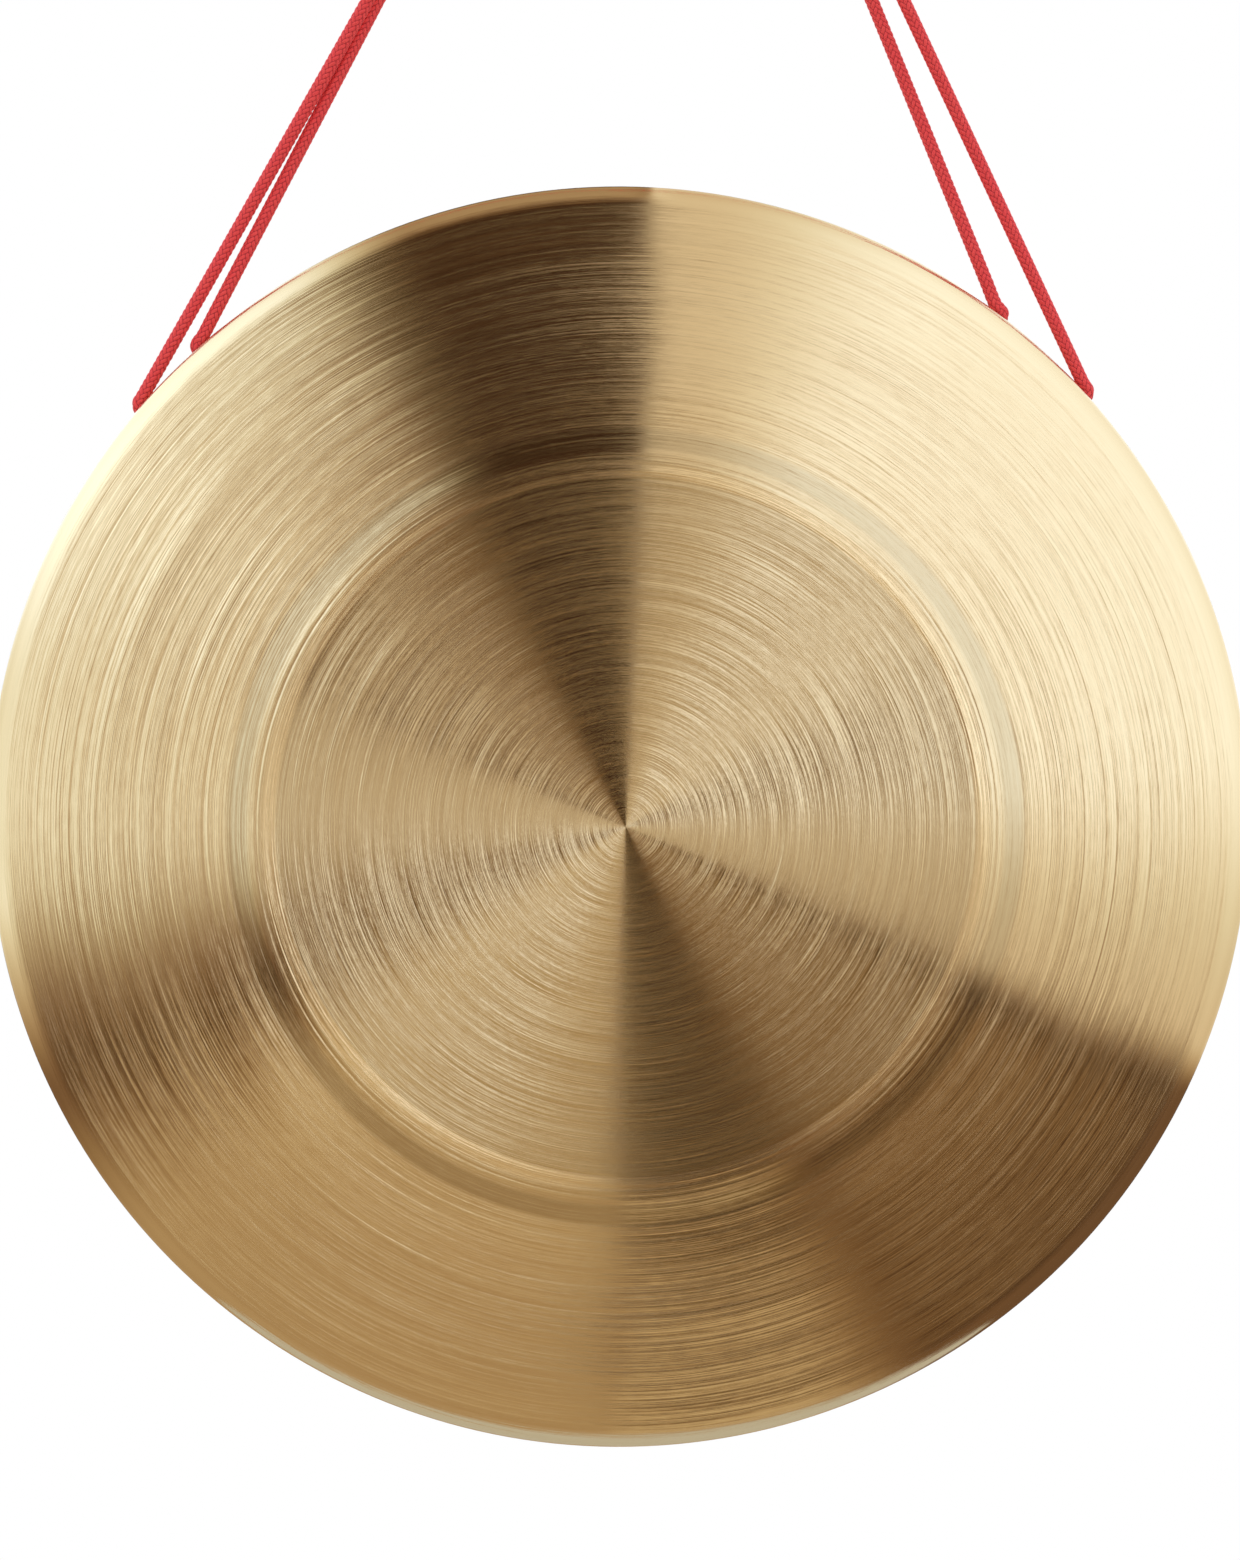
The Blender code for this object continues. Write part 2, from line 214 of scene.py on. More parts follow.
def turned_mesh(name, outline, columns, middle, axis, right, shape=None):
    """An outline of radius and depth turned about an axis: middle + depth axis + radius (cos a right +
    sin a up), with up square to both. Its first and last rows lie on the axis and become single points.
    The map "turning" has the length along the outline as U and the share of a turn as V."""
    up = np.cross(right, axis)
    angle = 2 * np.pi * np.arange(columns) / columns
    radius, depth = outline[1:-1, 0][:, None], outline[1:-1, 1][:, None] + 0 * angle
    if shape is not None:
        depth = shape(radius, angle, depth)
    spoke = np.cos(angle)[:, None] * right + np.sin(angle)[:, None] * up
    rings = middle + radius[..., None] * spoke + depth[..., None] * axis
    poles = middle + outline[[0, -1], 1][:, None] * axis
    points = np.concatenate([poles[:1], rings.reshape(-1, 3), poles[1:]])
    number = 1 + np.arange(rings.shape[0] * columns).reshape(-1, columns)
    beside = np.roll(number, -1, axis=1)
    walls = np.stack([number[:-1], number[1:], beside[1:], beside[:-1]], axis=-1).reshape(-1, 4)
    front = np.stack([0 * number[0], number[0], beside[0]], axis=-1)
    back = np.stack([number[-1], 0 * number[-1] + len(points) - 1, beside[-1]], axis=-1)
    along = np.append(0, np.cumsum(np.linalg.norm(np.diff(outline, axis=0), axis=1)))
    u, v = np.broadcast_arrays(along[1:-1, None], np.arange(columns)[None, :] / columns)
    step = 1 / columns
    wall_uv = np.stack([
        np.stack([u[:-1], v[:-1]], -1), np.stack([u[1:], v[1:]], -1),
        np.stack([u[1:], v[1:] + step], -1), np.stack([u[:-1], v[:-1] + step], -1)], axis=2)
    front_uv = np.stack([
        np.stack([0 * u[0], v[0] + step / 2], -1), np.stack([u[0], v[0]], -1),
        np.stack([u[0], v[0] + step], -1)], axis=1)
    back_uv = np.stack([
        np.stack([u[-1], v[-1]], -1), np.stack([0 * u[-1] + along[-1], v[-1] + step / 2], -1),
        np.stack([u[-1], v[-1] + step], -1)], axis=1)
    return mesh_of(name, points, [front, walls, back], "turning", [front_uv, wall_uv, back_uv])


def hammered(radius, angle, depth):
    """The back's depth with its hammer marks: each takes away c (1 - d^2/w^2)^2 within w of its middle."""
    draw = np.random.default_rng(hammer_seed)
    reach = hammer_reach * np.sqrt(draw.random(hammer_marks))
    where = 2 * np.pi * draw.random(hammer_marks)
    width = draw.uniform(*hammer_widths, hammer_marks)
    dip = draw.uniform(*hammer_depths, hammer_marks)
    rows = np.flatnonzero((depth[:, 0] < face_thickness + 1e-6) & (np.arange(len(depth)) > len(depth) / 2))
    x = radius[rows] * np.cos(angle)
    z = radius[rows] * np.sin(angle)
    away = (x[..., None] - reach * np.cos(where)) ** 2 + (z[..., None] - reach * np.sin(where)) ** 2
    marks = np.where(away < width ** 2, dip * (1 - away / width ** 2) ** 2, 0.0).sum(axis=-1)
    depth = depth.copy()
    depth[rows] -= np.minimum(marks, face_thickness / 3)
    return depth


def turn_off_centre(mesh):
    """Slide the face and its back sideways: wholly inside one radius, and not at all outside another, with
    a smoothstep between them."""
    points = np.empty(len(mesh.vertices) * 3, np.float32)
    mesh.vertices.foreach_get("co", points)
    points = points.reshape(-1, 3)
    radius = np.hypot(points[:, 0], points[:, 2] - plate_z)
    share = np.clip((turned_off_until - radius) / (turned_off_until - turned_off_from), 0, 1)
    points += (share ** 2 * (3 - 2 * share))[:, None] * turned_off
    mesh.vertices.foreach_set("co", points.ravel())
    mesh.update()


def add_piece(name, mesh, material):
    """A piece at the origin, with its place in its mesh."""
    mesh.materials.append(material)
    piece = bpy.data.objects.new(name, mesh)
    bpy.context.scene.collection.objects.link(piece)
    return piece


def hole_cutter(angle):
    """A spool that stands square to the rim's wall, a straight bore with a flare at each face."""
    out = np.array([math.cos(angle), 0.0, math.sin(angle)])
    axis = out * math.cos(rim_lean) + np.array([0.0, 1.0, 0.0]) * math.sin(rim_lean)
    middle = out * (rim_outside(hole_depth) + rim_inside(hole_depth)) / 2 + np.array([0.0, 0.0, plate_z])
    bore = hole_diameter / 2
    wall = rim_thickness / 2
    past = 0.0010
    outline = np.array([
        [0.0, -wall - past], [bore + hole_flare + past, -wall - past], [bore, hole_flare - wall],
        [bore, wall - hole_flare], [bore + hole_flare + past, wall + past], [0.0, wall + past]])
    right = np.cross(axis, out)
    right /= np.linalg.norm(right)
    return turned_mesh("hole_cutter", outline, cutter_columns, middle, axis, right)


def add_node(tree, kind, inputs=None, **settings):
    """A node of a kind with its settings, and its inputs given as values or as sockets to link."""
    node = tree.nodes.new(kind)
    for name, value in settings.items():
        setattr(node, name, value)
    for key, value in (inputs or {}).items():
        if isinstance(value, bpy.types.NodeSocket):
            tree.links.new(value, node.inputs[key])
        else:
            node.inputs[key].default_value = value
    return node


def calc(tree, operation, *values):
    """The result of one Math node."""
    return add_node(tree, "ShaderNodeMath", dict(enumerate(values)), operation=operation).outputs[0]


def blended(tree, share, first, second):
    """One colour turning into another by a share."""
    node = add_node(tree, "ShaderNodeMix", {"Factor": share, 6: first, 7: second}, data_type="RGBA")
    return node.outputs[2]


def fitted(tree, value, low, high, to_low, to_high, curve="LINEAR"):
    """A value moved from one range to another and kept inside it."""
    inputs = {"Value": value, "From Min": low, "From Max": high, "To Min": to_low, "To Max": to_high}
    return add_node(tree, "ShaderNodeMapRange", inputs, interpolation_type=curve).outputs[0]


def make_lathe_lines():
    """Broken rings about the lathe's axis: noise that changes fast with the radius and slowly round it."""
    group = bpy.data.node_groups.new("lathe_lines", "ShaderNodeTree")
    for name in ("Spacing", "Arcs", "Detail"):
        group.interface.new_socket(name, in_out="INPUT", socket_type="NodeSocketFloat")
    group.interface.new_socket("Lines", in_out="OUTPUT", socket_type="NodeSocketFloat")
    given = group.nodes.new("NodeGroupInput").outputs
    place = add_node(group, "ShaderNodeTexCoord").outputs["Object"]
    centred = add_node(
        group, "ShaderNodeVectorMath", {0: place, 1: (turned_off[0], 0.0, plate_z + turned_off[2])},
        operation="SUBTRACT").outputs[0]
    level = add_node(
        group, "ShaderNodeVectorMath", {0: centred, 1: (1.0, 0.0, 1.0)}, operation="MULTIPLY").outputs[0]
    radius = add_node(group, "ShaderNodeVectorMath", {0: level}, operation="LENGTH").outputs["Value"]
    spoke = add_node(group, "ShaderNodeVectorMath", {0: level}, operation="NORMALIZE").outputs[0]
    parts = add_node(group, "ShaderNodeSeparateXYZ", {0: spoke}).outputs
    arcs = calc(group, "MULTIPLY", given["Arcs"], fitted(group, radius, 0.0, arcs_full_from, 0.0, 1.0))
    ring = add_node(group, "ShaderNodeCombineXYZ", {
        0: calc(group, "MULTIPLY", parts[0], arcs),
        1: calc(group, "DIVIDE", radius, given["Spacing"]),
        2: calc(group, "MULTIPLY", parts[2], arcs),
    }).outputs[0]
    noise = add_node(group, "ShaderNodeTexNoise", {
        "Vector": ring, "Scale": 1.0, "Detail": given["Detail"], "Roughness": 0.6})
    end = group.nodes.new("NodeGroupOutput")
    group.links.new(noise.outputs[0], end.inputs["Lines"])
    return group


lathe_lines = make_lathe_lines()


def lathe(tree, spacing, arcs, detail):
    """The broken rings of one spacing, as a value about one half."""
    inputs = {"Spacing": spacing, "Arcs": arcs, "Detail": detail}
    return add_node(tree, "ShaderNodeGroup", inputs, node_tree=lathe_lines).outputs["Lines"]


def weighed(tree, *parts):
    """The sum of some values, each times its own weight."""
    total = 0.0
    for value, weight in parts:
        total = calc(tree, "MULTIPLY_ADD", value, weight, total)
    return total


def ramp_of(tree, value, stops):
    """A value read off a line through stops, each a place from 0 to 1 and a colour."""
    node = add_node(tree, "ShaderNodeValToRGB", {0: value})
    line = node.color_ramp.elements
    while len(line) < len(stops):
        line.new(0.5)
    places, colors = zip(*stops)
    for slot, place in zip(line, places):
        slot.position = place
    for slot, color in zip(line, colors):
        slot.color = (*color, 1.0)
    return node.outputs[0]


def leaned(tree, tilt):
    """The direction of the map's U, and the surface's normal tilted along it."""
    across = add_node(tree, "ShaderNodeTangent", direction_type="UV_MAP", uv_map="turning").outputs[0]
    facing = add_node(tree, "ShaderNodeNewGeometry").outputs["Normal"]
    leaning = add_node(
        tree, "ShaderNodeVectorMath", {0: across, 1: tilt, 2: facing}, operation="MULTIPLY_ADD").outputs[0]
    return across, add_node(tree, "ShaderNodeVectorMath", {0: leaning}, operation="NORMALIZE").outputs[0]


def make_turned_brass():
    """Bright brass brushed in rings. The lines tint it, roughen it and tilt its surface across the rings,
    along the map's U, and the finest are too close to be seen singly. The flat and the cove are a tone
    darker."""
    made = bpy.data.materials.new("turned_brass")
    made.use_nodes = True
    tree = made.node_tree
    shader = tree.nodes["Principled BSDF"]
    hair = lathe(tree, spacing=0.00012, arcs=1.5, detail=1.0)
    grit = lathe(tree, spacing=0.0004, arcs=26.0, detail=2.0)
    fine = lathe(tree, spacing=0.0005, arcs=3.0, detail=2.0)
    middle = lathe(tree, spacing=0.0013, arcs=1.2, detail=1.0)
    broad = lathe(tree, spacing=0.0045, arcs=0.8, detail=1.0)
    mixed = weighed(tree, (grit, 0.3), (fine, 0.35), (middle, 0.35))
    tone = fitted(tree, mixed, *line_range, 0.0, 1.0)
    base = blended(tree, tone, deep_brass, pale_brass)
    warm = fitted(tree, broad, 0.35, 0.65, 0.0, 0.2)
    color = blended(tree, warm, base, warm_brass)
    out = add_node(tree, "ShaderNodeSeparateXYZ", {
        0: add_node(tree, "ShaderNodeUVMap", uv_map="turning").outputs[0]}).outputs[0]
    stops = [(place / face_radius, (tone_there,) * 3) for place, tone_there in ring_tones]
    rings = ramp_of(tree, calc(tree, "DIVIDE", out, face_radius), stops)
    color = add_node(tree, "ShaderNodeVectorMath", {0: color, 1: rings}, operation="MULTIPLY").outputs[0]
    tree.links.new(color, shader.inputs["Base Color"])
    tree.links.new(fitted(tree, mixed, *line_range, *front_roughness), shader.inputs["Roughness"])
    tilts = {hair: 0.54, grit: 0.14, fine: 0.09, middle: 0.075, broad: 0.014}
    tilt = calc(tree, "SUBTRACT", weighed(tree, *tilts.items()), sum(tilts.values()) / 2)
    across, leaning = leaned(tree, tilt)
    tree.links.new(leaning, shader.inputs["Normal"])
    tree.links.new(across, shader.inputs["Tangent"])
    shader.inputs["Metallic"].default_value = 1.0
    shader.inputs["Anisotropic"].default_value = 1.0
    return made


def make_hammered_brass():
    """The same brass behind: duller, darker and yellower, clouded, with weaker rings over the marks."""
    made = bpy.data.materials.new("hammered_brass")
    made.use_nodes = True
    tree = made.node_tree
    shader = tree.nodes["Principled BSDF"]
    fine = lathe(tree, spacing=0.0007, arcs=3.0, detail=2.0)
    middle = lathe(tree, spacing=0.0024, arcs=1.5, detail=2.0)
    rings = weighed(tree, (fine, 0.5), (middle, 0.5))
    place = add_node(tree, "ShaderNodeTexCoord").outputs["Object"]
    cloud = add_node(tree, "ShaderNodeTexNoise", {"Vector": place, "Scale": 26.0, "Detail": 2.5}).outputs[0]
    stain = fitted(tree, cloud, 0.35, 0.68, 0.0, 1.0)
    base = blended(tree, stain, dull_brass, stained_brass)
    color = blended(tree, fitted(tree, rings, 0.40, 0.62, 0.0, 0.6), base, rubbed_brass)
    tree.links.new(color, shader.inputs["Base Color"])
    tree.links.new(fitted(tree, cloud, 0.3, 0.7, *back_roughness), shader.inputs["Roughness"])
    tilt = calc(tree, "MULTIPLY", calc(tree, "SUBTRACT", rings, 0.5), back_tilt)
    tree.links.new(leaned(tree, tilt)[1], shader.inputs["Normal"])
    shader.inputs["Metallic"].default_value = 1.0
    return made


def drilled(piece, cutters):
    """Cut the cutters out of a piece and keep the result as its own mesh."""
    for mesh in cutters:
        drill = piece.modifiers.new("hole", "BOOLEAN")
        drill.operation = "DIFFERENCE"
        drill.object = bpy.data.objects.new("hole_cutter", mesh)
        bpy.context.scene.collection.objects.link(drill.object)
    seen = piece.evaluated_get(bpy.context.evaluated_depsgraph_get())
    cut = bpy.data.meshes.new_from_object(seen)
    tools = [drill.object for drill in piece.modifiers]
    piece.modifiers.clear()
    piece.data = cut
    for tool in tools:
        bpy.data.objects.remove(tool, do_unlink=True)


turned_brass = make_turned_brass()
hammered_brass = make_hammered_brass()
plate_line = plate_outline()
plate_mesh = turned_mesh(
    "turned_plate", plate_line, plate_columns, np.array([0.0, face_y, plate_z]),
    np.array([0.0, 1.0, 0.0]), np.array([1.0, 0.0, 0.0]), hammered)
turn_off_centre(plate_mesh)
plate = add_piece("turned_plate", plate_mesh, turned_brass)
plate_mesh.materials.append(hammered_brass)
rear_row = int(np.argmax(plate_line[:, 1] >= plate_depth - 1e-7))
behind = np.arange(len(plate_mesh.polygons)) >= plate_columns * (rear_row + corner_rows - 1)
plate_mesh.polygons.foreach_set("material_index", behind.astype(np.int32))
drilled(plate, [hole_cutter(angle) for angle in hole_angles.values()])
plate.data.set_sharp_from_angle(angle=sharp_from)
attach(plate, "gong")
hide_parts("gong_plate")


# Cord
# One length of red braided cord, eight yarns each way laid two over two. It goes in and out through the
# holes of each pair, rises from behind the rim to the winding, passes through it and makes the loop above.
cord_diameter = 0.0033
touch_gap = 0.0003
pressed_pitch = 0.00315
bend_gap = 0.0009
lift_along = 0.0036
stub_length = 0.0060
gather_height = 0.332
straight_top = 0.0023
gather_points = {
    "left_outer": (-0.0024, -0.0030), "left_inner": (-0.0061, 0.0030),
    "right_inner": (0.0044, 0.0019), "right_outer": (0.0045, -0.0019),
}
seam_z = -0.120
yarns_each_way = 8
yarns_over = 2
braid_pitch = 0.0017
braid_relief = 0.00030
mean_height = 0.6
rise_power = 0.4
cord_sides = 32
ring_step = 0.00022
strand_points = 900
bight_points = 600

# The colours of the yarns, the painted shade in the dips between them, and the fibres across and along a
# yarn. The yarns of the other way are numbered from far off, so that no two share a number
deep_red = (0.93, 0.060, 0.054, 1.0)
bright_red = (0.98, 0.105, 0.086, 1.0)
other_red = (0.92, 0.050, 0.060, 1.0)
painted_dip_shade = (0.36, 0.016, 0.022, 1.0)
fibres_across = 7.0
fibres_along = 1.4
other_way_from = 1000.0

cord_radius = cord_diameter / 2
cord_pitch = cord_diameter + touch_gap
bundle_low, bundle_high = (np.array(corner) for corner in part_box("cord_bundle"))
throat_z = bundle_low[2]
loop_base = bundle_high[2]


def unit(vector):
    """A vector, or each row of an array, made one long."""
    return vector / np.linalg.norm(vector, axis=-1, keepdims=True)


def smooth_route(stops, count):
    """Points along a smooth curve through the stops of a route: each span is a cubic that leaves a stop
    along the line joining that stop's neighbours."""
    stops = np.array(stops, float)
    knots = np.append(0, np.cumsum(np.linalg.norm(np.diff(stops, axis=0), axis=1)))
    low = np.maximum(np.arange(len(stops)) - 1, 0)
    high = np.minimum(np.arange(len(stops)) + 1, len(stops) - 1)
    slopes = (stops[high] - stops[low]) / (knots[high] - knots[low])[:, None]
    at = np.linspace(0, knots[-1], count)
    span = np.clip(np.searchsorted(knots, at) - 1, 0, len(stops) - 2)
    size = (knots[span + 1] - knots[span])[:, None]
    share = (at - knots[span])[:, None] / size
    return (
        (2 * share ** 3 - 3 * share ** 2 + 1) * stops[span]
        + (3 * share ** 2 - 2 * share ** 3) * stops[span + 1]
        + (share ** 3 - 2 * share ** 2 + share) * size * slopes[span]
        + (share ** 3 - share ** 2) * size * slopes[span + 1])


def evenly_spaced(points, step):
    """The same line with its points a step apart along it."""
    along = np.append(0, np.cumsum(np.linalg.norm(np.diff(points, axis=0), axis=1)))
    at = np.linspace(0, along[-1], int(round(along[-1] / step)) + 1)
    return np.stack([np.interp(at, along, points[:, part]) for part in range(3)], axis=1)


def braid_height(u, v):
    """How high the braid stands, from 0 to 1. Yarns one way keep u and the others keep v; two by two, one
    lies over the other. Across it a yarn is round, and along it it rises and dips as a power of a sine."""
    count = np.mod(np.floor(u) + np.floor(v), 2 * yarns_over)
    over = count < yarns_over
    across = np.where(over, u % 1, v % 1)
    along = np.where(over, count + v % 1, count - yarns_over + u % 1) / yarns_over
    round_part = np.sqrt(np.clip(1 - (2 * across - 1) ** 2, 0, 1))
    return round_part * np.sin(np.pi * np.clip(along, 0, 1)) ** rise_power


def braided_tube(name, line, side, start=0.0, tip=False):
    """A braided cord along a line: at a length s and an angle a its surface stands core radius + relief
    times braid height from the line, with u and v = a yarns / full turn plus and minus s / pitch. The
    angle starts from the given side. A tip is rounded off. The map "braid" holds u and v."""
    along = np.append(0, np.cumsum(np.linalg.norm(np.diff(line, axis=0), axis=1)))
    ahead = unit(np.gradient(line, axis=0))
    across = unit(side - (ahead @ side)[:, None] * ahead)
    beyond = np.cross(ahead, across)
    turn = np.arange(cord_sides) / cord_sides
    travel = ((along + start) / braid_pitch)[:, None]
    u, v = yarns_each_way * turn + travel, yarns_each_way * turn - travel
    radius = cord_radius - mean_height * braid_relief + braid_relief * braid_height(u, v)
    if tip:
        left = np.clip((along[-1] - along) / cord_radius, 0.02, 1)
        radius *= np.sqrt(1 - (1 - left) ** 2)[:, None]
    cosine, sine = np.cos(2 * np.pi * turn)[:, None], np.sin(2 * np.pi * turn)[:, None]
    spoke = cosine * across[:, None] + sine * beyond[:, None]
    rings = line[:, None] + radius[..., None] * spoke
    points = np.concatenate([rings.reshape(-1, 3), line[[0, -1]]])
    number = np.arange(rings.shape[0] * cord_sides).reshape(-1, cord_sides)
    beside = np.roll(number, -1, axis=1)
    walls = np.stack([number[:-1], beside[:-1], beside[1:], number[1:]], axis=-1).reshape(-1, 4)
    first = np.stack([0 * number[0] + len(points) - 2, beside[0], number[0]], axis=-1)
    last = np.stack([0 * number[0] + len(points) - 1, number[-1], beside[-1]], axis=-1)
    pair = np.stack([u, v], axis=-1)
    over = pair + yarns_each_way / cord_sides
    wall_uv = np.stack([pair[:-1], over[:-1], over[1:], pair[1:]], axis=2)
    first_uv = np.stack([pair[0], over[0], pair[0]], axis=1)
    last_uv = np.stack([pair[-1], pair[-1], over[-1]], axis=1)
    return mesh_of(name, points, [walls, first, last], "braid", [wall_uv, first_uv, last_uv])


def make_red_braid():
    """Red braided yarn. The pattern of the map "braid" is the mesh's own: the yarn's red on top of each
    yarn, painted shade in maroon in the dips, and fibres that run along the yarn."""
    made = bpy.data.materials.new("red_braid")
    made.use_nodes = True
    tree = made.node_tree
    shader = tree.nodes["Principled BSDF"]
    pair = add_node(tree, "ShaderNodeUVMap", uv_map="braid").outputs[0]
    parts = add_node(tree, "ShaderNodeSeparateXYZ", {0: pair}).outputs
    whole_u, whole_v = (calc(tree, "FLOOR", parts[axis]) for axis in (0, 1))
    part_u, part_v = (calc(tree, "FRACT", parts[axis]) for axis in (0, 1))
    count = calc(tree, "FLOORED_MODULO", calc(tree, "ADD", whole_u, whole_v), 2.0 * yarns_over)
    over = calc(tree, "LESS_THAN", count, yarns_over - 0.5)

    def chosen(first, second):
        """The first value where the u yarn lies on top, and the second elsewhere."""
        inputs = {"Factor": over, 2: second, 3: first}
        return add_node(tree, "ShaderNodeMix", inputs, data_type="FLOAT").outputs[0]

    across = chosen(part_u, part_v)
    later = calc(tree, "SUBTRACT", count, yarns_over)
    reached = chosen(calc(tree, "ADD", count, part_v), calc(tree, "ADD", later, part_u))
    along = calc(tree, "MULTIPLY", reached, 1 / yarns_over)
    yarn = chosen(whole_u, calc(tree, "ADD", whole_v, other_way_from))
    off = calc(tree, "SUBTRACT", calc(tree, "MULTIPLY", across, 2.0), 1.0)
    rest = calc(tree, "SUBTRACT", 1.0, calc(tree, "MULTIPLY", off, off))
    round_part = calc(tree, "SQRT", calc(tree, "MAXIMUM", rest, 0.0))
    wave = calc(tree, "SINE", calc(tree, "MULTIPLY", along, math.pi))
    rise = calc(tree, "POWER", calc(tree, "MAXIMUM", wave, 0.0), rise_power)
    height = calc(tree, "MULTIPLY", round_part, rise)
    fibre_place = add_node(tree, "ShaderNodeCombineXYZ", {
        0: calc(tree, "MULTIPLY", across, fibres_across),
        1: calc(tree, "MULTIPLY", along, fibres_along),
        2: yarn,
    }).outputs[0]
    fibre = add_node(tree, "ShaderNodeTexNoise", {
        "Vector": fibre_place, "Scale": 1.0, "Detail": 3.0}).outputs[0]
    dye = add_node(tree, "ShaderNodeTexWhiteNoise", {"W": yarn}, noise_dimensions="1D").outputs[0]
    streak = fitted(tree, fibre, 0.3, 0.7, 0.0, 1.0)
    red = blended(tree, streak, deep_red, bright_red)
    red = blended(tree, fitted(tree, dye, 0.0, 1.0, 0.0, 0.3), red, other_red)
    # Painted shade: the braid's height darkens the dips between the yarns towards maroon
    color = blended(tree, fitted(tree, height, 0.12, 0.62, 0.0, 1.0), painted_dip_shade, red)
    tree.links.new(color, shader.inputs["Base Color"])
    bump = add_node(tree, "ShaderNodeBump", {"Strength": 0.5, "Distance": 0.00006, "Height": fibre})
    tree.links.new(bump.outputs[0], shader.inputs["Normal"])
    shader.inputs["Roughness"].default_value = 0.75
    shader.inputs["Specular IOR Level"].default_value = 0.25
    shader.inputs["Sheen Weight"].default_value = 0.12
    shader.inputs["Sheen Roughness"].default_value = 0.4
    return made


def rim_point(angle, along, radius):
    """A point in the strands' plane at a radius from the plate's axis, moved along the rim."""
    out = np.array([math.cos(angle), 0.0, math.sin(angle)])
    tangent = np.array([-math.sin(angle), 0.0, math.cos(angle)])
    return np.array([0.0, 0.0, plate_z]) + out * radius + tangent * along


def strand_stops(name):
    """Where a strand lifts off the rim, where it is gathered, and where it enters the winding."""
    angle = hole_angles[name]
    gather_x, gather_y = gather_points[name]
    side = math.copysign(1.0, math.cos(angle))
    front = math.copysign(1.0, gather_y)
    lift = rim_point(angle, side * lift_along, rim_outside(hole_depth) + cord_radius + touch_gap)
    gather = np.array([gather_x, gather_y, plate_z + gather_height])
    throat = np.array([side * pressed_pitch / 2, front * pressed_pitch / 2, throat_z - bend_gap])
    return lift, gather, throat


def strand_line(name):
    """The strand from just above the rim up to the winding, as in the solids."""
    lift, gather, throat = strand_stops(name)
    low = lift + unit(gather - lift) * (stub_length + bend_gap)
    straight = throat - np.array([0.0, 0.0, straight_top])
    return smooth_route([
        low, 0.6 * low + 0.4 * gather, 0.2 * low + 0.8 * gather, gather, straight, throat], strand_points)


def bight_line(side_name):
    """In at the outer hole, along the inside of the rim and out at the inner one."""
    outside, inside = rim_outside(hole_depth), rim_inside(hole_depth)
    halves = []
    for place in ("outer", "inner"):
        name = f"{side_name}_{place}"
        angle = hole_angles[name]
        lift, gather = strand_stops(name)[:2]
        up = math.copysign(1.0, math.cos(angle))
        over = up if place == "outer" else -up
        # From above the lift down to the hole, through it, and on along the inside towards the other hole
        halves.append([
            lift + unit(gather - lift) * stub_length,
            lift,
            rim_point(angle, up * lift_along / 3, outside + 0.85 * cord_radius),
            rim_point(angle, 0.0, (outside + inside) / 2),
            rim_point(angle, over * 0.3 * lift_along, inside - 1.1 * cord_radius),
            rim_point(angle, over * 0.8 * lift_along, inside - 1.6 * cord_radius),
        ])
    return smooth_route(halves[0] + halves[1][::-1], bight_points)


def line_length(line):
    """The length along a line of points."""
    return float(np.linalg.norm(np.diff(line, axis=0), axis=1).sum())


red_braid = make_red_braid()
sideways = np.array([0.0, 1.0, 0.0])
seams = {}
for side_name in ("left", "right"):
    outer, inner = (strand_line(f"{side_name}_{place}") for place in ("outer", "inner"))
    low_outer, low_inner = (line[line[:, 2] <= seam_z] for line in (outer, inner))
    line = evenly_spaced(np.concatenate([low_outer[::-1], bight_line(side_name), low_inner]), ring_step)
    name = f"cord_{side_name}"
    piece = add_piece(name, braided_tube(name, line, sideways), red_braid)
    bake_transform(piece)
    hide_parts(f"cord_bight_{side_name}")
    seams[f"{side_name}_outer"] = (line[0], 0.0)
    seams[f"{side_name}_inner"] = (line[-1], line_length(line))


# Gathered strands
# The same cord above the seams: each strand leans in, straightens at the throat of the winding, and runs
# on up inside it beside the other three.
gathered_top = loop_base - 0.0004
inside_points = 60

for strand_name in gather_points:
    whole = strand_line(strand_name)
    seam, travelled = seams[strand_name]
    top = np.array([whole[-1, 0], whole[-1, 1], gathered_top])
    rise = np.linspace(whole[-1], top, inside_points)[1:]
    line = evenly_spaced(np.concatenate([[seam], whole[whole[:, 2] > seam_z], rise]), ring_step)
    name = f"cord_gathered_{strand_name}"
    start = travelled if strand_name.endswith("inner") else -line_length(line)
    piece = add_piece(name, braided_tube(name, line, sideways, start), red_braid)
    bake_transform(piece)
    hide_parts(f"cord_strand_{strand_name}", "cord_bundle")


# Wound ends
# The two ends of the cord are wound side by side round the gathered strands, upwards from the throat, and
# their tips stand free at the top.
wound_turns = 1.75
wound_start = math.radians(100)
turn_gap = 0.0006
wrap_gap = 0.0004
tail_length = 0.024
tail_stops = ((0.20, 0.06, 0.06), (0.50, 0.30, 0.10), (0.72, 0.62, -0.08))
wound_points = 500
tail_points = 200
wound_radius = cord_pitch / 2 * math.sqrt(2) + cord_radius + wrap_gap + cord_radius
wound_pitch = 2 * (cord_diameter + turn_gap)


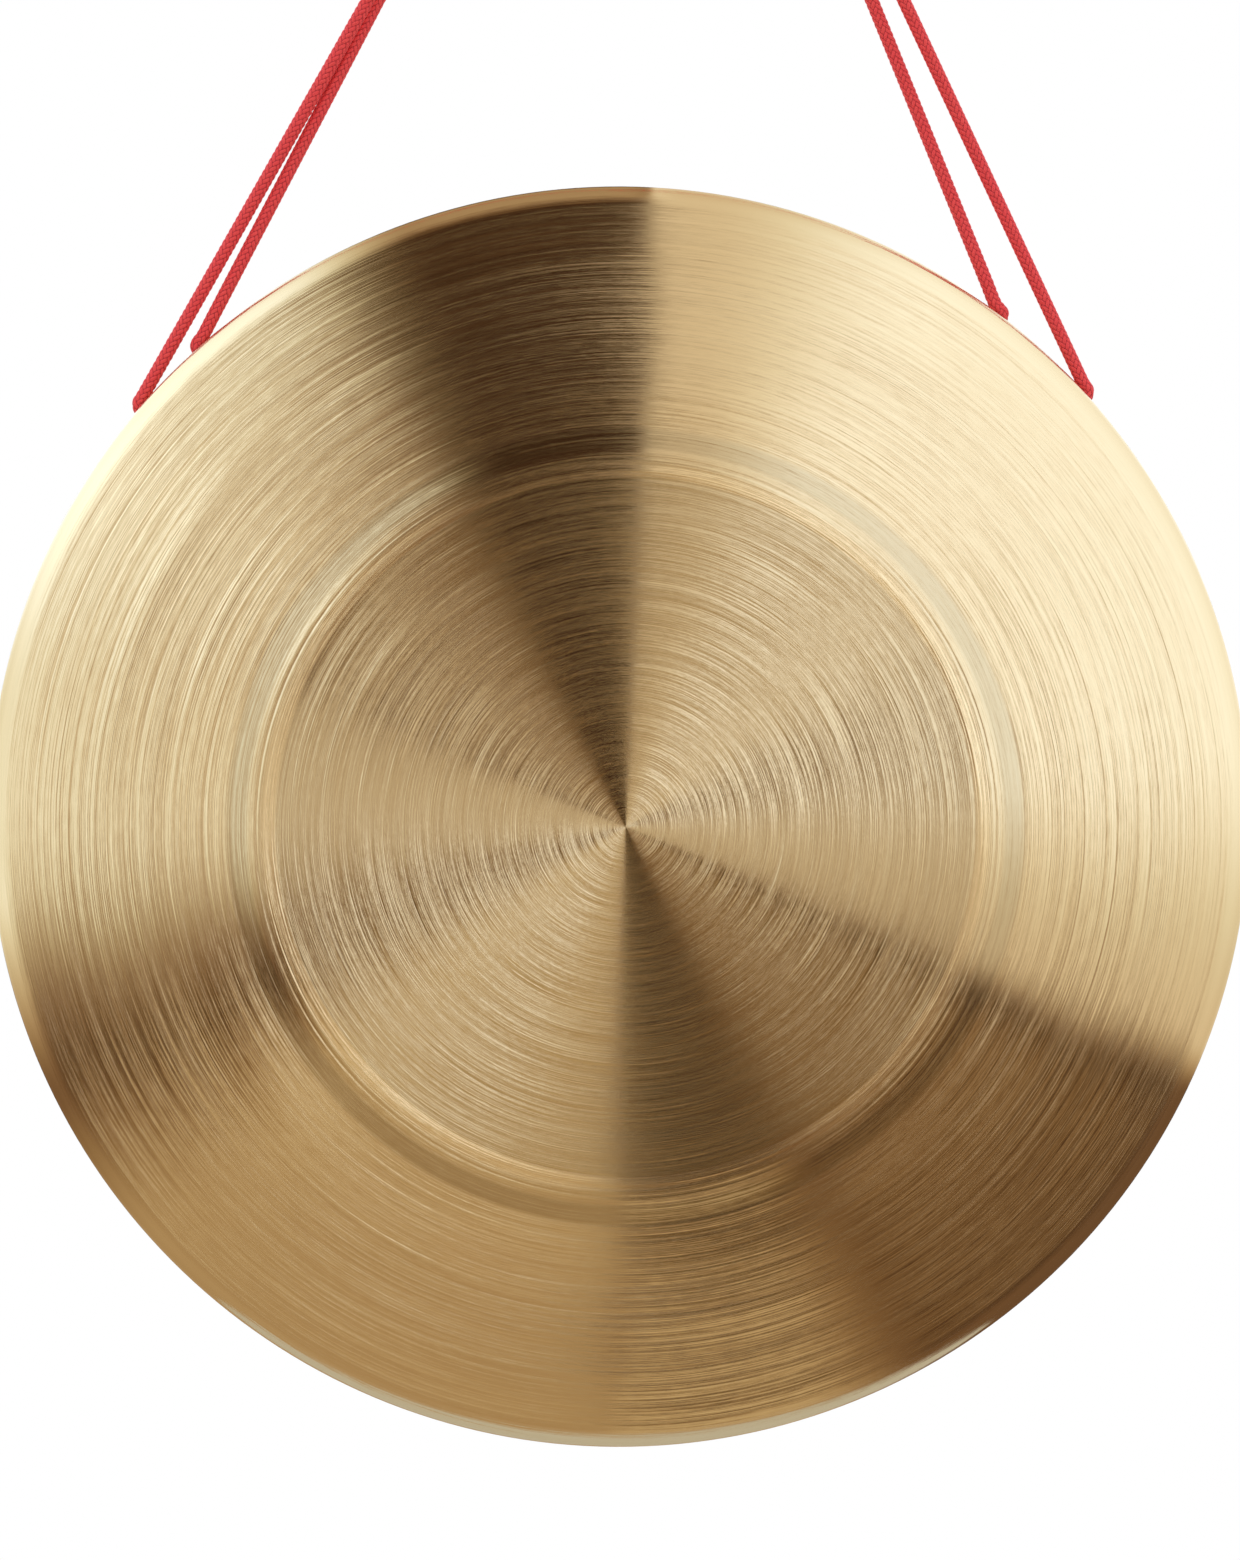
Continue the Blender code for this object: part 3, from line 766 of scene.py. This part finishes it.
def end_line(start):
    """A helix round the vertical axis and then the free tip, which swings out from its last point through
    stops given along the helix, outwards and upwards, as shares of the tip's length."""
    t = np.linspace(0, wound_turns, wound_points)
    angle = start + 2 * np.pi * t
    rise = throat_z + cord_radius + wound_pitch * t
    wound = np.stack([wound_radius * np.cos(angle), wound_radius * np.sin(angle), rise], axis=1)
    out = np.array([math.cos(angle[-1]), math.sin(angle[-1]), 0.0]) * tail_length
    along = np.array([-math.sin(angle[-1]), math.cos(angle[-1]), 0.0]) * tail_length
    lift = np.array([0.0, 0.0, tail_length])
    top = wound[-1]
    stops = [top + along * ahead + out * aside + lift * higher for ahead, aside, higher in tail_stops]
    tail = smooth_route([top] + stops, tail_points)
    return np.concatenate([wound, tail[1:]])


for side_name, start in (("left", wound_start), ("right", wound_start + math.pi)):
    line = evenly_spaced(end_line(start), ring_step)
    name = f"cord_wound_{side_name}"
    piece = add_piece(name, braided_tube(name, line, np.array([0.0, 0.0, 1.0]), tip=True), red_braid)
    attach(piece, "winding")
    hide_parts(f"cord_end_{side_name}")


# Hanging loop
# The two inner strands leave the winding side by side and open into a loop for a hook or a finger.
loop_width = 0.016
loop_height = -loop_base
loop_points = 900


def loop_line():
    """Up one leg, over the crown and down the other, through stops that mirror each other."""
    low = loop_base + bend_gap
    half = loop_width / 2 + cord_radius
    leg = pressed_pitch / 2
    right = [
        np.array([leg, 0.0, gathered_top]),
        np.array([leg, 0.0, low]),
        np.array([leg, 0.0, low + 0.15 * loop_height]),
        np.array([0.62 * half, 0.0, low + 0.42 * loop_height]),
        np.array([half, 0.0, low + 0.70 * loop_height]),
        np.array([0.72 * half, 0.0, low + 0.95 * loop_height]),
    ]
    left = [stop * np.array([-1.0, 1.0, 1.0]) for stop in reversed(right)]
    return smooth_route(right + [np.array([0.0, 0.0, cord_radius])] + left, loop_points)


line = evenly_spaced(loop_line(), ring_step)
loop = add_piece("cord_hanging_loop", braided_tube("cord_hanging_loop", line, sideways), red_braid)
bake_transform(loop)
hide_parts("cord_loop")


# Camera
# The photograph is taken square-on from far off, with the camera turned a little about its own axis.
photo_height = 0.39607
camera_distance = 1.5
camera_turn = math.radians(1.66)
look_right = 0.00028
look_up = 0.0093
sensor_size = 36.0

right = np.array([math.cos(camera_turn), 0.0, math.sin(camera_turn)])
up = np.array([-math.sin(camera_turn), 0.0, math.cos(camera_turn)])
away = np.array([0.0, -1.0, 0.0])
outline_y = face_y + edge_sink
eye = np.array([0.0, outline_y, plate_z]) + look_right * right + look_up * up + camera_distance * away
lens = bpy.data.cameras.new("camera")
lens.sensor_width = sensor_size
lens.lens = sensor_size * camera_distance / photo_height
camera = bpy.data.objects.new("camera", lens)
bpy.context.scene.collection.objects.link(camera)
pose = np.eye(4)
pose[:3, 0], pose[:3, 1], pose[:3, 2], pose[:3, 3] = right, up, away, eye
camera.matrix_world = Matrix(pose.tolist())
bpy.context.scene.camera = camera


# Studio
# A pale floor well below the hanging gong, and a room of soft lights: a large one to the right of the
# camera, one to the left, a weak one below, and the same again behind the gong, before a white background.
floor_drop = 1.0
floor_radius = 0.9
floor_sides = 96
floor_grey = (0.62, 0.62, 0.61, 1.0)
whitens_from = 0.3
whitens_until = 0.95 * floor_radius
least_white = 0.70


def make_floor():
    """A pale disc, white towards its edge so that it meets the background, and seen from above only."""
    angle = 2 * np.pi * np.arange(floor_sides) / floor_sides
    ring = np.stack([floor_radius * np.cos(angle), floor_radius * np.sin(angle), 0 * angle], axis=1)
    points = np.concatenate([ring, [[0.0, 0.0, 0.0]]]) + np.array([0.0, 0.0, plate_low[2] - floor_drop])
    number = np.arange(floor_sides)
    faces = np.stack([0 * number + floor_sides, number, np.roll(number, -1)], axis=-1)
    made = bpy.data.materials.new("pale_floor")
    made.use_nodes = True
    tree = made.node_tree
    tree.nodes.clear()
    place = add_node(tree, "ShaderNodeTexCoord").outputs["Object"]
    level = add_node(
        tree, "ShaderNodeVectorMath", {0: place, 1: (1.0, 1.0, 0.0)}, operation="MULTIPLY").outputs[0]
    reach = add_node(tree, "ShaderNodeVectorMath", {0: level}, operation="LENGTH").outputs["Value"]
    seen = add_node(tree, "ShaderNodeLightPath").outputs["Is Camera Ray"]
    whiter = fitted(tree, reach, whitens_from, whitens_until, least_white, 1.0)
    shining = calc(tree, "MULTIPLY", whiter, seen)
    matt = add_node(tree, "ShaderNodeBsdfDiffuse", {"Color": floor_grey}).outputs[0]
    glow = add_node(tree, "ShaderNodeEmission", {"Strength": 1.0}).outputs[0]
    top = add_node(tree, "ShaderNodeMixShader", {0: shining, 1: matt, 2: glow}).outputs[0]
    clear = add_node(tree, "ShaderNodeBsdfTransparent").outputs[0]
    under = add_node(tree, "ShaderNodeNewGeometry").outputs["Backfacing"]
    shown = add_node(tree, "ShaderNodeMixShader", {0: under, 1: top, 2: clear}).outputs[0]
    end = tree.nodes.new("ShaderNodeOutputMaterial")
    tree.links.new(shown, end.inputs["Surface"])
    uv = (points[faces][..., :2] / floor_radius + 1) / 2
    return add_piece("floor", mesh_of("floor", points, [faces], "floor", [uv]), made)


floor = make_floor()

# The soft lights of the room. Each lies between two directions round the line of sight, in degrees
# anticlockwise from the right as the camera sees it, and is softened over a width at either side. Some
# begin only beyond an angle from the camera, or reach only until one.
white = (1.0, 1.0, 1.0)
golden = (1.0, 0.97, 0.84)
cool = (0.25, 0.70, 1.0)
soft_lights = {
    "key at the right": {
        "between": (-24, 87.0), "softness": (5, 0.8), "level": 0.66, "color": white},
    "middle of the key": {
        "between": (-4, 70), "softness": (24, 24), "level": 0.36, "color": white},
    "far part of the key": {
        "between": (-16, 76), "softness": (12, 14), "level": 0.13, "color": cool,
        "beyond": 17, "beyond_softness": 20},
    "second at the left": {
        "between": (130, 193), "softness": (36, 26), "level": 0.56, "color": white},
    "rest of the second": {
        "between": (119, 190), "softness": (12, 18), "level": 0.27, "color": white,
        "beyond": 12, "beyond_softness": 16},
    "edge of the second": {
        "between": (119, 134), "softness": (5, 14), "level": 0.12, "color": white,
        "beyond": 8, "beyond_softness": 8},
    "far part of the second": {
        "between": (114, 158), "softness": (10, 26), "level": 0.50, "color": white,
        "beyond": 24, "beyond_softness": 16},
    "cool part of the second": {
        "between": (114, 194), "softness": (10, 16), "level": 0.20, "color": cool,
        "beyond": 16, "beyond_softness": 10},
    "low part of the second": {
        "between": (186, 202), "softness": (8, 12), "level": 0.30, "color": white,
        "beyond": 28, "beyond_softness": 24},
    "near floor at the left": {
        "between": (199, 226), "softness": (8, 30), "level": 0.20, "color": golden,
        "until": 12, "until_softness": 10},
    "near floor below": {
        "between": (214, 269.5), "softness": (26, 1.2), "level": 0.19, "color": golden,
        "until": 13, "until_softness": 10},
    "floor below": {
        "between": (213, 269.5), "softness": (22, 1.2), "level": 0.33, "color": golden},
    "floor at the lower right": {
        "between": (269.5, 294), "softness": (1.2, 14), "level": 0.28, "color": golden,
        "beyond": 13, "beyond_softness": 10},
    "far part of the lower right": {
        "between": (269.5, 294), "softness": (1.2, 16), "level": 0.24, "color": golden,
        "beyond": 20, "beyond_softness": 12, "until": 36, "until_softness": 16},
    "wall at the lower right": {
        "between": (296, 331), "softness": (14, 6), "level": 0.22, "color": golden,
        "until": 18, "until_softness": 16},
    "ceiling": {
        "between": (87, 116), "softness": (6, 20), "level": 0.30, "color": white,
        "beyond": 45, "beyond_softness": 30},
}

# What every direction has besides the lights: these levels, at these angles from the camera
dim_levels = (0.034, 0.18)
dim_change = (18, 50)

# How much brighter or dimmer everything is by the angle from the camera, and the tint of each level
from_the_camera = ((0, 0.84), (3, 0.92), (7, 1.07), (12, 1.12), (22, 1.12), (45, 0.96), (90, 0.88))
from_camera_range = 1.5
widest_angle = 90.0
room_tints = (
    (0.0, (1.0, 0.48, 0.30)), (0.30, (1.0, 0.71, 0.47)), (0.62, (1.0, 0.87, 0.71)),
    (0.90, (1.0, 0.98, 0.96)), (1.20, (1.0, 1.10, 1.34)))
brightest = 1.2


def scaled_sum(tree, color, share, rest):
    """A colour times a share, added to the rest."""
    scaled = add_node(tree, "ShaderNodeVectorMath", {0: color, "Scale": share}, operation="SCALE").outputs[0]
    return add_node(tree, "ShaderNodeVectorMath", {0: scaled, 1: rest}, operation="ADD").outputs[0]


def make_room():
    """The world: the soft lights round the camera and the same again behind, and plain white to look at."""
    world = bpy.data.worlds.new("studio")
    bpy.context.scene.world = world
    world.use_nodes = True
    tree = world.node_tree
    ground = tree.nodes["Background"]
    way = add_node(tree, "ShaderNodeTexCoord").outputs["Generated"]
    parts = add_node(tree, "ShaderNodeSeparateXYZ", {0: way}).outputs
    around = calc(tree, "SUBTRACT", calc(tree, "ARCTAN2", parts[2], parts[0]), camera_turn)
    around = calc(tree, "DEGREES", around)
    off = calc(tree, "DEGREES", calc(tree, "ARCCOSINE", calc(tree, "ABSOLUTE", parts[1])))
    dim = fitted(tree, off, *dim_change, *dim_levels, "SMOOTHSTEP")
    total = add_node(tree, "ShaderNodeCombineXYZ", {axis: dim for axis in range(3)}).outputs[0]
    for light in soft_lights.values():
        first, last = light["between"]
        half = (last - first) / 2
        turned = calc(tree, "ADD", around, 180.0 - (first + last) / 2)
        beside = calc(tree, "SUBTRACT", calc(tree, "FLOORED_MODULO", turned, 360.0), 180.0)
        soft_first, soft_last = (width / 2 for width in light["softness"])
        rise = fitted(tree, beside, -half - soft_first, soft_first - half, 0.0, light["level"], "SMOOTHSTEP")
        fall = fitted(tree, beside, half - soft_last, half + soft_last, 1.0, 0.0, "SMOOTHSTEP")
        share = calc(tree, "MULTIPLY", rise, fall)
        for end, inside, outside in (("beyond", 0.0, 1.0), ("until", 1.0, 0.0)):
            if end in light:
                soft = light[f"{end}_softness"] / 2
                kept = fitted(tree, off, light[end] - soft, light[end] + soft, inside, outside, "SMOOTHSTEP")
                share = calc(tree, "MULTIPLY", share, kept)
        total = scaled_sum(tree, light["color"], share, total)
    rows = [(place / widest_angle, (share / from_camera_range,) * 3) for place, share in from_the_camera]
    reach = ramp_of(tree, calc(tree, "DIVIDE", off, widest_angle), rows)
    reach = calc(tree, "MULTIPLY", reach, from_camera_range)
    level = calc(tree, "MULTIPLY", add_node(tree, "ShaderNodeSeparateXYZ", {0: total}).outputs[0], reach)
    stops = [(place / brightest, color) for place, color in room_tints]
    tint = ramp_of(tree, calc(tree, "DIVIDE", level, brightest), stops)
    tint = add_node(tree, "ShaderNodeVectorMath", {0: tint, 1: total}, operation="MULTIPLY").outputs[0]
    tree.links.new(tint, ground.inputs["Color"])
    tree.links.new(reach, ground.inputs["Strength"])
    plain = add_node(tree, "ShaderNodeBackground", {
        "Color": (1.0, 1.0, 1.0, 1.0), "Strength": 1.0}).outputs[0]
    path = add_node(tree, "ShaderNodeLightPath").outputs
    shown = add_node(
        tree, "ShaderNodeMixShader", {0: path["Is Camera Ray"], 1: ground.outputs[0], 2: plain}).outputs[0]
    tree.links.new(shown, tree.nodes["World Output"].inputs["Surface"])


make_room()
bpy.context.scene.view_settings.view_transform = "Standard"
